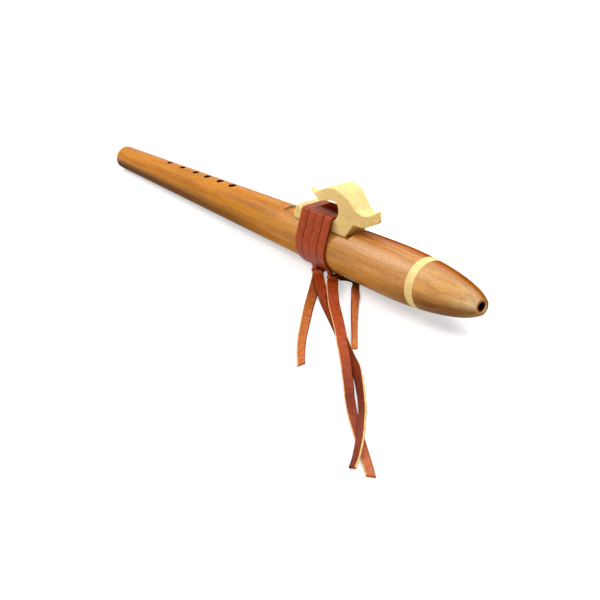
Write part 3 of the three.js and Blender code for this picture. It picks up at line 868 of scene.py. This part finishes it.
def sanded_maple(name, along, offset, side_shade=1):
    """Pale maple, sawn, shaped and sanded smooth: even cream wood with faint grain lines, a dull shine."""
    tones = colours()
    material = bpy.data.materials.new(name)
    add = emptied(material)
    place = add("TexCoord").outputs["Object"]
    # Faint grain lines about 1.3 mm apart, and broad tone changes of 12 to 22 mm
    grain = pattern(add, place, (along, 1.3, 1.3), offset, Detail=4, Roughness=0.6, Distortion=0.3)
    clouds = pattern(add, place, (22, 12, 12), offset, Detail=1)
    shade = layered(
        add, 1, (grain, ((0.36, tones.maple_light), (0.74, tones.maple_dark))),
        (clouds, ((0.3, 0.93), (0.7, 1.03))),
    )
    # Painted shade: sides and undersides are painted darker
    normal = add("NewGeometry").outputs["Normal"]
    facing = add("SeparateXYZ", {"Vector": normal}).outputs["Z"]
    low_side = add("MapRange", {"Value": facing, "From Min": 0.3, "From Max": -0.6})
    shade = add("Mix", {0: low_side, 6: shade, 7: side_shade}, **MULTIPLY)
    # Sanding marks about 0.25 mm apart
    marks = pattern(add, place, (4, 0.25, 0.25), offset, Detail=2)
    rough = add("MapRange", {"Value": marks, "To Min": 0.5, "To Max": 0.66})
    bump = add("Bump", {"Height": marks, "Strength": 0.2, "Distance": 0.05 * MM})
    shader = add("BsdfPrincipled", {"Base Color": shade, "Roughness": rough, "IOR": 1.28, "Normal": bump})
    add("OutputMaterial", {"Surface": shader})
    return material


def plain_wood(name, tone, fibre):
    """Bare wood of one tone without any polish, with fibres of a given width in millimetres."""
    material = bpy.data.materials.new(name)
    add = emptied(material)
    place = add("TexCoord").outputs["Object"]
    fibres = pattern(add, place, (4 * fibre, fibre, fibre), Detail=2)
    shade = add("ValToRGB", {"Fac": fibres}, stops=((0.35, [0.7 * c for c in tone]), (0.65, tone)))
    shader = add("BsdfPrincipled", {"Base Color": shade, "Roughness": 0.8, "IOR": 1.1})
    add("OutputMaterial", {"Surface": shader})
    return material


def leather_material(name, tones, roughness, pebble, crease, ior):
    """Leather lace, pebbled and creased at sizes in millimetres, with dye in dark, middle and light tones."""
    material = bpy.data.materials.new(name)
    add = emptied(material)
    flat = add("UVMap", uv_map="along_lace")
    # Creases run along the lace, 4 to 5 times as long as they are wide
    creased = add("Mapping", {"Vector": flat, "Scale": (1 / (crease * MM), 0.22 / (crease * MM), 1)})
    folds = add("TexNoise", {"Vector": creased, "Scale": 1, "Detail": 4, "Roughness": 0.6, "Distortion": 0.6})
    # Dye lightness, which also holds painted shade and painted highlights
    dye = add("Attribute", attribute_name="dye_and_painted_light").outputs["Fac"]
    fine = add("Mapping", {"Vector": flat, "Scale": (1 / (pebble * MM), 1 / (pebble * MM), 1)})
    pebbles = add("TexVoronoi", {"Vector": fine, "Scale": 1})
    clouds = add("TexNoise", {"Vector": fine, "Scale": 0.12, "Detail": 2})
    shade = layered(
        add, 1, (dye, tuple(zip((0, 0.5, 1), tones))), (folds, ((0.3, 0.62), (0.56, 1))),
        (clouds, ((0.3, 0.76), (0.7, 1.16))),
    )
    height = add("Math", {0: pebbles, 1: -0.35, 2: folds}, operation="MULTIPLY_ADD")
    bump = add("Bump", {"Height": height, "Strength": 0.85, "Distance": 0.35 * MM})
    rough = add("MapRange", {"Value": folds, "To Min": roughness + 0.12, "To Max": roughness - 0.08})
    # Thick dye drinks the wax, so dark parts shine least
    gloss = add("MapRange", {"Value": dye, "From Max": 0.4, "To Max": 0.36})
    shader = add("BsdfPrincipled", {
        "Base Color": shade, "Roughness": rough, "IOR": ior, "Specular IOR Level": gloss, "Normal": bump,
    })
    add("OutputMaterial", {"Surface": shader})
    return material


def lace_materials():
    """Grain side, flesh side, pale cut and dyed edge of vegetable-tanned leather, dyed on its grain side."""
    tones = colours()
    grain = (tones.leather_dark, tones.leather_grain, tones.leather_worn_and_highlight)
    flesh = (tones.leather_flesh_dark, tones.leather_flesh, tones.leather_flesh_light)
    dyed_edge = (tones.leather_dark, tones.leather_dyed_edge, tones.leather_grain)
    # After the tones: roughness, sizes of pebbles and creases in millimetres, and IOR
    edge_finish = (0.75, 0.3, 0.6, 1.12)
    kinds = {
        "dyed_grain_leather": (grain, 0.38, 0.7, 1.6, 1.3),
        "raw_flesh_leather": (flesh, 0.8, 0.4, 1.2, 1.12),
        "cut_leather_edge": ([tones.leather_edge] * 3, *edge_finish),
        "dyed_leather_edge": (dyed_edge, *edge_finish),
    }
    return [bpy.data.materials.get(name) or leather_material(name, *look) for name, look in kinds.items()]


def ray_share(add, *others):
    """1 for what the camera and the other given kinds of ray see directly, and 0 for light on the object."""
    path = add("LightPath").outputs
    seen = path["Is Camera Ray"]
    for kind in others:
        seen = add("Math", {0: seen, 1: path[f"Is {kind} Ray"]}, operation="MAXIMUM")
    return seen


def table_material():
    """Matte white card: it takes the object's soft shadow and reads as plain white where it is lit."""
    material = bpy.data.materials.new("matte_white_card")
    add = emptied(material)
    glow = add("Math", {0: ray_share(add, "Glossy"), 1: TABLE_GLOW}, operation="MULTIPLY")
    card = add("BsdfDiffuse", {"Color": colours().table})
    lit = add("Emission", {"Color": 1, "Strength": glow})
    both = add("AddShader", {0: card, 1: lit})
    add("OutputMaterial", {"Surface": both})
    return material


def sizes():
    return bpy.context.scene.flute_sizes


def colours():
    return bpy.context.scene.flute_colours


# Operators


class FLUTE_OT_stage(Operator):
    """Makes the camera, the pale table and the soft studio light"""

    bl_idname = "flute.stage"
    bl_label = "Camera, table and light"

    def execute(self, context):
        scene = context.scene
        turn = Matrix((CAMERA_RIGHT, CAMERA_UP, CAMERA_BACK)).transposed().to_4x4()
        camera = bpy.data.objects.new("camera", bpy.data.cameras.new("camera"))
        camera.matrix_world = Matrix.Translation(CAMERA_PLACE) @ turn
        camera.data.sensor_width = SENSOR_WIDTH
        camera.data.lens = FOCAL_PIXELS * SENSOR_WIDTH / PHOTO_PIXELS
        camera.data.clip_end = CLIP_END
        scene.collection.objects.link(camera)
        scene.camera = camera
        self.add_table(scene)
        for name, look in LAMPS.items():
            self.add_lamp(scene, name, *look)
        self.add_world(scene)
        scene.view_settings.view_transform = "Standard"
        return {"FINISHED"}

    def add_table(self, scene):
        mesh = bpy.data.meshes.new("table_top")
        corners = [(x * TABLE_HALF, y * TABLE_HALF, 0) for x, y in ((-1, -1), (1, -1), (1, 1), (-1, 1))]
        mesh.from_pydata(corners, [], [(0, 1, 2, 3)])
        table = bpy.data.objects.new("table_top", mesh)
        table.location.z = -TABLE_DROP
        scene.collection.objects.link(table)
        mesh.materials.append(table_material())

    def add_lamp(self, scene, name, place, size, power):
        lamp = bpy.data.lights.new(name, "AREA")
        lamp.size, lamp.energy = size, power
        holder = bpy.data.objects.new(name, lamp)
        holder.location = place
        holder.rotation_mode = "QUATERNION"
        holder.rotation_quaternion = (-Vector(place)).to_track_quat("-Z", "Y")
        scene.collection.objects.link(holder)

    def add_world(self, scene):
        """White where it is seen directly, and dim where it lights the object."""
        world = bpy.data.worlds.new("studio")
        scene.world = world
        add = emptied(world)
        seen = ray_share(add, "Glossy", "Transmission")
        strength = add("MapRange", {"Value": seen, "To Min": WORLD_LIGHT, "To Max": 1.0})
        sky = add("Background", {"Color": 1, "Strength": strength})
        add("OutputWorld", {"Surface": sky})


class FLUTE_OT_lace_tails(Operator):
    """Lays the four loose ends of the laces on the table"""

    bl_idname = "flute.lace_tails"
    bl_label = "Loose lace tails"

    def execute(self, context):
        for i, (name, tail) in enumerate(TAILS.items()):
            line, widths = tail_line(name)
            piece = strap_piece(
                name + "_leather", line, widths, tail_thickness(name), seed=20 + 7 * i, wobble=0.5,
                place=Matrix(), slant=tail["slant"], flip=tail["flesh_up"], pale=tail["pale_edge"],
                tone=lambda share, point: stops_at(share, tail["dye"]),
            )
            dressed(piece, "block_and_laces", lace_materials(), [name])
        return {"FINISHED"}


class FLUTE_OT_body(Operator):
    """Turns the body with its two chambers, finger holes and the nest under the block"""

    bl_idname = "flute.body"
    bl_label = "Turned body"

    def execute(self, context):
        end = RING_STATION - sizes().joint_line / MM / 2
        socket = RING_STATION - TENON_DEPTH - CLEARANCE
        rounding = []
        for i in range(ROUNDING_STEPS):
            turn = math.pi / 2 * i / ROUNDING_STEPS
            rounding.append((FOOT_EDGE - FOOT_EDGE * math.cos(turn),
                             radius_at(FOOT_EDGE) - FOOT_EDGE + FOOT_EDGE * math.sin(turn)))
        # No ring of points lies where a cut's wall stands
        rim_end, taper_start, taper_rings = 1.8 * FOOT_EDGE, 3.5 * FOOT_EDGE, 148
        profile = [
            (SOUND_CHAMBER, 0), (SOUND_CHAMBER, BORE_RADIUS), (0, BORE_RADIUS), *rounding,
            *outer_line(FOOT_EDGE, rim_end, 1), *outer_line(taper_start, end, taper_rings),
            (end, TENON_RADIUS + CLEARANCE), (socket, TENON_RADIUS + CLEARANCE),
            (socket, BORE_RADIUS), (AIR_CHAMBER, BORE_RADIUS), (AIR_CHAMBER, 0),
        ]
        body = turned_piece("turned_body", profile)
        # Higher than the body anywhere
        top = BELLY_RADIUS + 5
        air_hole = AIR_CHAMBER + AIR_HOLE_SETBACK
        air_hole_end = air_hole + AIR_HOLE_LENGTH
        cuts = [
            box_cut("nest", NEST_STATION, NEST_STATION + NEST_LENGTH, 2 * top, NEST_HEIGHT, top),
            box_cut("sound_hole", SOUND_CHAMBER - SOUND_HOLE_LENGTH, SOUND_CHAMBER, AIRWAY_WIDTH, 0, top),
            box_cut("flue", SOUND_CHAMBER, air_hole_end, AIRWAY_WIDTH, NEST_HEIGHT - FLUE_DEPTH, top),
            box_cut("air_hole", air_hole, air_hole_end, AIRWAY_WIDTH, 0, top),
            *self.finger_holes(),
        ]
        combined(body, cuts, "DIFFERENCE")
        smooth_shaded(body, SHARP_DEGREES)
        for face in body.data.polygons:
            face.material_index = self.finish(PLACE.inverted() @ (face.center / MM), face.normal)
        tones = colours()
        woods = [
            oiled_teak("oiled_teak_body", (0, 0, 0)),
            # Grey painted shade on the nest's end walls
            plain_wood("painted_shade_nest_wall", tones.nest_wall_shade, 0.5),
            plain_wood("painted_shade_hole_wall", tones.hole_shade, 0.4),
            plain_wood("pale_foot_rim", tones.pale_rim_and_tip_highlight, 0.5),
        ]
        dressed(body, "flute", woods, ["body"])
        return {"FINISHED"}

    def finish(self, spot, normal):
        """The material of a face: 0 oiled, 1 nest end wall in grey painted shade, 2 holes and bore in
        near-black painted shade, 3 pale upper foot rim.
        """
        from_end = min(abs(spot.x - NEST_STATION), abs(spot.x - NEST_STATION - NEST_LENGTH))
        on_end_wall = abs(normal.x) > 0.9 and from_end < 0.5 and spot.z > NEST_HEIGHT - 1
        on_upper_rim = spot.x < 1.7 * FOOT_EDGE and spot.z > -0.3 * FOOT_RADIUS
        holes = [share * FLUTE_LENGTH for share in FINGER_HOLE_STATION_SHARES]
        near_hole = any(math.hypot(spot.x - hole, spot.y) < FINGER_HOLE / 2 + 0.05 for hole in holes)
        in_hole = near_hole and spot.z > 0 and abs(normal.z) < 0.85
        in_bore = math.hypot(spot.y, spot.z) < BORE_RADIUS + CLEARANCE
        if on_end_wall:
            return 1
        if on_upper_rim:
            return 3
        return 2 if in_hole or in_bore else 0

    def finger_holes(self):
        """Drilled holes whose rims are eased by about 0.4 mm."""
        holes = []
        for i, share in enumerate(FINGER_HOLE_STATION_SHARES):
            station = share * FLUTE_LENGTH
            radius = FINGER_HOLE * FINGER_HOLE_SIZE_SHARES[i] / 2
            rim = radius_at(station)
            profile = [(FINGER_HOLE_FLOOR, 0), (FINGER_HOLE_FLOOR, radius)]
            profile += [(rim + rise, radius + wider) for rise, wider in EASED_RIM]
            profile.append((profile[-1][0], 0))
            holes.append(turned_piece(f"hole_{i}", profile, HOLE_SIDES, "Z", (station, 0, 0)))
        return holes


class FLUTE_OT_accent_ring(Operator):
    """Turns the pale ring between body and mouthpiece"""

    bl_idname = "flute.accent_ring"
    bl_label = "Accent ring"

    def execute(self, context):
        line = sizes().joint_line / MM / 2
        start, end = RING_STATION + line, RING_STATION + RING_WIDTH - line
        inner = TENON_RADIUS + CLEARANCE / 2
        profile = [(start, inner), *outer_line(start, end, count=8), (end, inner)]
        ring = turned_piece("pale_accent_ring", profile)
        smooth_shaded(ring, SHARP_DEGREES)
        maple = sanded_maple("sanded_maple_ring", along=6, offset=(3, 1, 5))
        dressed(ring, "flute", [maple], ["accent_ring"])
        return {"FINISHED"}


class FLUTE_OT_mouthpiece(Operator):
    """Turns the mouthpiece with its blow hole and tenon"""

    bl_idname = "flute.mouthpiece"
    bl_label = "Mouthpiece"

    def execute(self, context):
        shoulder = RING_STATION + RING_WIDTH + sizes().joint_line / MM / 2
        tenon_end = RING_STATION - TENON_DEPTH
        neck = FLUTE_LENGTH - NECK_LENGTH
        lip_start = FLUTE_LENGTH - MOUTH_LIP
        rim = outer_line(shoulder, lip_start, count=70)
        lip = []
        low, wide = BLOW_HOLE_RADIUS, radius_at(lip_start)
        middle, half = (low + wide) / 2, (wide - low) / 2
        for i in range(1, LIP_STEPS):
            turn = math.pi * i / LIP_STEPS
            lip.append((lip_start + MOUTH_LIP * math.sin(turn), middle + half * math.cos(turn)))
        profile = [
            (tenon_end, BORE_RADIUS), (tenon_end, TENON_RADIUS), (shoulder, TENON_RADIUS), *rim, *lip,
            (lip_start, BLOW_HOLE_RADIUS), (neck, BLOW_HOLE_RADIUS), (neck, BORE_RADIUS),
        ]
        nose = turned_piece("turned_mouthpiece", profile)
        smooth_shaded(nose, ROUNDED_DEGREES)
        for face in nose.data.polygons:
            spot = PLACE.inverted() @ (face.center / MM)
            # 0 oiled, 1 blow hole in near-black painted shade
            face.material_index = math.hypot(spot.y, spot.z) < BLOW_HOLE_RADIUS + 0.02
        teak = oiled_teak("oiled_teak_mouthpiece", (7, 31, 17))
        hole_shade = plain_wood("painted_shade_blow_hole", colours().hole_shade, 0.4)
        dressed(nose, "flute", [teak, hole_shade], ["mouthpiece"])
        return {"FINISHED"}


class FLUTE_OT_block(Operator):
    """Carves the block that is tied over the flue"""

    bl_idname = "flute.block"
    bl_label = "Carved block"

    def execute(self, context):
        half, seat = BLOCK_WIDTH / 2, NEST_HEIGHT + BLOCK_SEAT_GAP
        # The cutting shapes reach a little past the block
        spare, foot_spare = 3, 4
        side = [(0, 0), (BLOCK_LENGTH * HEEL_SHARE, 0)]
        for shares in (FIN_SHARES, CREST_SHARES, HOOK_SHARES):
            side += reversed(shares_line(shares, BLOCK_LENGTH, BLOCK_HEIGHT))
        side += [
            (BLOCK_LENGTH * BED_END_SHARE, BED_HEIGHT), (BLOCK_LENGTH * BED_START_SHARE, BED_HEIGHT),
            (BLOCK_LENGTH * LIP_START_SHARE, LIP_HEIGHT), (0, BLOCK_FACE_HEIGHT),
        ]
        side = [(BLOCK_STATION + a, seat + b) for a, b in side]
        front = shares_line(PLAN_SHARES, BLOCK_LENGTH, half)
        plan = [*front, *[(a, -b) for a, b in reversed(front[1:-1])]]
        plan = [(BLOCK_STATION + a, b) for a, b in plan]
        block = extruded_piece("carved_block", side, -half - spare, half + spare, "Y")
        upper = extruded_piece("block_plan", plan, seat - spare, seat + BLOCK_HEIGHT + spare, "Z")
        foot = box_cut(
            "block_foot", BLOCK_STATION - spare, BLOCK_STATION + BLOCK_LENGTH * FOOT_SHARE, BLOCK_WIDTH,
            seat - foot_spare, seat + LIP_HEIGHT + foot_spare,
        )
        combined(upper, [foot], "UNION")
        combined(block, [upper], "INTERSECT")
        fine = block.modifiers.new("fine", "REMESH")
        fine.mode, fine.voxel_size = "VOXEL", sizes().block_voxel
        sanded = block.modifiers.new("sanded", "SMOOTH")
        sanded.factor, sanded.iterations = 0.5, 1
        settled(block)
        block.data.shade_smooth()
        maple = sanded_maple("sanded_maple_block", along=40, offset=(11, 3, 8), side_shade=BLOCK_SIDE_SHADE)
        dressed(block, "block_and_laces", [maple], ["block"])
        return {"FINISHED"}


def hook_shadow_tone(share, point):
    """Dye on the wound laces, with painted shadow: darkest where they lie under the block's hook."""
    along = smooth((point.x - BLOCK_STATION - HOOK_SHADE_LENGTH) / HOOK_SHADE_LENGTH)
    under_hook_shadow = along * smooth((point.y + HOOK_SHADE_WIDTH) / HOOK_SHADE_WIDTH)
    return MIDDLE_DYE * (1 - under_hook_shadow) if point.z > bed_top() else MIDDLE_DYE


class FLUTE_OT_lace_wraps(Operator):
    """Winds the two laces round body and block"""

    bl_idname = "flute.lace_wraps"
    bl_label = "Wound laces"

    def execute(self, context):
        thick = sizes().lace_thickness / MM
        for lace, name in enumerate(LACE_NAMES):
            line = resampled(winding_line(lace), WRAP_SPACING)
            # On the block's bed, where they lie nearly level, the bands are pressed flat and touch
            wide = sizes().lace_width / MM
            widths = [wide + PRESSED_WIDENING * smooth(6 * normal.z - 5) for _, normal in line]
            # Toward its knot the lace is gathered
            for i in range(GATHER_STEPS):
                kept = smooth(i / GATHER_STEPS)
                widths[-1 - i] = GATHERED_WIDTH + (widths[0] - GATHERED_WIDTH) * kept
                line[-1 - i][0].x += KNOT_SHIFT * (1 - kept)
            piece = strap_piece(
                name + "_wrap_leather", line, widths, thick, seed=3 + 11 * lace, wobble=0.45, tone=hook_shadow_tone
            )
            dressed(piece, "block_and_laces", lace_materials(), [name + "_wrap"])
        return {"FINISHED"}


class FLUTE_OT_lace_knots(Operator):
    """Ties the flat knots under the belly"""

    bl_idname = "flute.lace_knots"
    bl_label = "Knots"

    def execute(self, context):
        for lace, name in enumerate(LACE_NAMES):
            low, high = [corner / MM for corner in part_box(name + "_knot")]
            knot = self.turn(name + "_knot_leather", (low + high) / 2, (high - low) / 2, lace)
            dressed(knot, "block_and_laces", lace_materials(), [name + "_knot"])
        return {"FINISHED"}

    def turn(self, name, middle, half, lace):
        """The lace turned a little more than once over its own ends, slightly aslant."""
        deep, tall = half.y - KNOT_LEATHER / 2, half.z - KNOT_LEATHER / 2
        line = []
        for i in range(KNOT_STEPS + 1):
            angle = 2 * math.pi * KNOT_TURNS * i / KNOT_STEPS + KNOT_START
            over, up = math.cos(angle), math.sin(angle)
            squeeze = (abs(over) ** KNOT_SQUARENESS + abs(up) ** KNOT_SQUARENESS) ** (-1 / KNOT_SQUARENESS)
            grow = 1 - KNOT_SHRINKING * i / KNOT_STEPS
            aslant = KNOT_SHIFT + KNOT_SLANT * math.sin(angle + KNOT_SLANT_START)
            point = middle + Vector((aslant, over * deep * squeeze * grow, up * tall * squeeze * grow))
            line.append((point, Vector((0, over / deep, up / tall)).normalized()))
        widths = [2 * half.x - KNOT_NARROWING] * len(line)
        return strap_piece(
            name, line, widths, KNOT_LEATHER, seed=41 + lace, wobble=0.1, place=Matrix(),
            tone=lambda share, point: KNOT_DYE,
        )


class FLUTE_PT_panel(Panel):
    """Lists the flute's pieces, sizes and colours"""

    bl_idname = "FLUTE_PT_panel"
    bl_label = "Laced flute"
    bl_space_type = "VIEW_3D"
    bl_region_type = "UI"
    bl_category = "Flute"

    def draw(self, context):
        for operator in OPERATORS:
            self.layout.operator(operator.bl_idname)
        for group in (context.scene.flute_sizes, context.scene.flute_colours):
            for key in group.__annotations__:
                self.layout.prop(group, key)


OPERATORS = (
    FLUTE_OT_stage, FLUTE_OT_lace_tails, FLUTE_OT_body, FLUTE_OT_accent_ring, FLUTE_OT_mouthpiece,
    FLUTE_OT_block, FLUTE_OT_lace_wraps, FLUTE_OT_lace_knots,
)
CLASSES = (FluteSizes, FluteColours, *OPERATORS, FLUTE_PT_panel)


def register():
    for kind in CLASSES:
        bpy.utils.register_class(kind)
    bpy.types.Scene.flute_sizes = PointerProperty(type=FluteSizes)
    bpy.types.Scene.flute_colours = PointerProperty(type=FluteColours)


def unregister():
    del bpy.types.Scene.flute_colours
    del bpy.types.Scene.flute_sizes
    for kind in reversed(CLASSES):
        bpy.utils.unregister_class(kind)


def main():
    register()
    bpy.ops.flute.stage()
    bpy.ops.flute.lace_tails()
    bpy.ops.flute.body()
    bpy.ops.flute.accent_ring()
    bpy.ops.flute.mouthpiece()
    bpy.ops.flute.block()
    bpy.ops.flute.lace_wraps()
    bpy.ops.flute.lace_knots()


if __name__ == "__main__":
    main()
